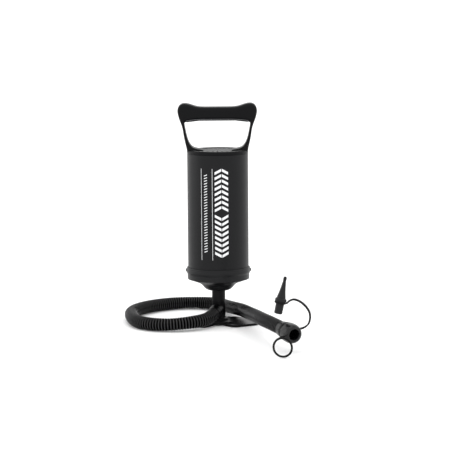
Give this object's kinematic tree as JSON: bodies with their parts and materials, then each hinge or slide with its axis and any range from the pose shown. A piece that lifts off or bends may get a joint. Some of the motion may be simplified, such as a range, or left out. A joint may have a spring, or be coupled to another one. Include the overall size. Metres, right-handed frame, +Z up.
{
  "type": "double action hand pump",
  "caption": "Upright double action hand air pump: plain cylinder with a loop handle sliding on a hollow rod with a foot plate, corrugated hose and tethered valve adapter.",
  "frame": {"origin": "on the axis of the rod, at the underside of the foot plate", "axes": "+Z up along the rod and cylinder, +X along the handle and the foot wings, the free end of the hose lies toward -Y"},
  "size_m": [0.2423, 0.3722, 0.296],
  "materials": {
    "body_plastic": "satin moulded dark grey plastic",
    "dark_plastic": "semi-gloss black plastic",
    "inner_plastic": "plain light grey moulded plastic",
    "rubber": "matt black rubber",
    "hose": "glossy black corrugated soft plastic",
    "adapter_plastic": "semi-gloss black plastic",
    "steel": "zinc plated steel"
  },
  "bodies": {
    "foot": {"foot_base": "dark_plastic", "outlet_elbow": "dark_plastic", "foot_screw_1": "steel", "foot_screw_2": "steel", "foot_screw_3": "steel", "foot_screw_4": "steel", "rod_tube": "dark_plastic", "piston_lower": "inner_plastic", "piston_upper": "inner_plastic", "piston_seal": "rubber", "valve_spacer": "inner_plastic", "piston_nut": "steel", "top_bumper": "rubber", "stroke_stop_ring": "rubber", "hose": "hose", "hose_inlet_cuff": "dark_plastic", "hose_end_cuff": "dark_plastic", "adapter_tether": "rubber"},
    "rod_carriage": {"rod_guide_bush": "inner_plastic", "rod_seal": "rubber"},
    "cylinder": {"barrel": "body_plastic", "handle_cap": "body_plastic", "grip_cover": "body_plastic", "top_oring": "rubber", "top_valve_keeper": "inner_plastic", "top_keeper_screw_1": "steel", "top_keeper_screw_2": "steel", "top_keeper_screw_3": "steel", "bottom_cap": "body_plastic", "bottom_oring": "rubber", "bottom_valve_keeper": "inner_plastic", "locking_ring": "body_plastic", "ring_clip_left": "body_plastic", "ring_clip_right": "body_plastic"},
    "outlet_disc_lower": {"outlet_disc_lower": "rubber"},
    "outlet_disc_upper": {"outlet_disc_upper": "rubber"},
    "top_intake_disc": {"top_intake_disc": "rubber"},
    "bottom_intake_disc": {"bottom_intake_disc": "rubber"},
    "valve_adapter": {"valve_adapter": "adapter_plastic"}
  },
  "joints": [
    {"name": "pump_stroke", "type": "slide", "parent": "foot", "child": "rod_carriage", "axis": [0, 0, 1], "range_m": [0, 0.119]},
    {"name": "cylinder_turn", "type": "hinge", "parent": "rod_carriage", "child": "cylinder", "pos_m": [0, 0, 0.05], "axis": [0, 0, 1], "continuous": true},
    {"name": "lower_outlet_lift", "type": "slide", "parent": "foot", "child": "outlet_disc_lower", "axis": [0, 0, 1], "range_m": [0, 0.0012]},
    {"name": "upper_outlet_lift", "type": "slide", "parent": "foot", "child": "outlet_disc_upper", "axis": [0, 0, 1], "range_m": [0, 0.0012]},
    {"name": "top_intake_lift", "type": "slide", "parent": "cylinder", "child": "top_intake_disc", "axis": [0, 0, 1], "range_m": [0, 0.0012]},
    {"name": "bottom_intake_lift", "type": "slide", "parent": "cylinder", "child": "bottom_intake_disc", "axis": [0, 0, 1], "range_m": [0, 0.0012]},
    {"name": "adapter_turn", "type": "hinge", "parent": "foot", "child": "valve_adapter", "pos_m": [0.0738, -0.206, 0.0486], "axis": [0.1961, 0, 0.9806], "continuous": true}
  ]
}
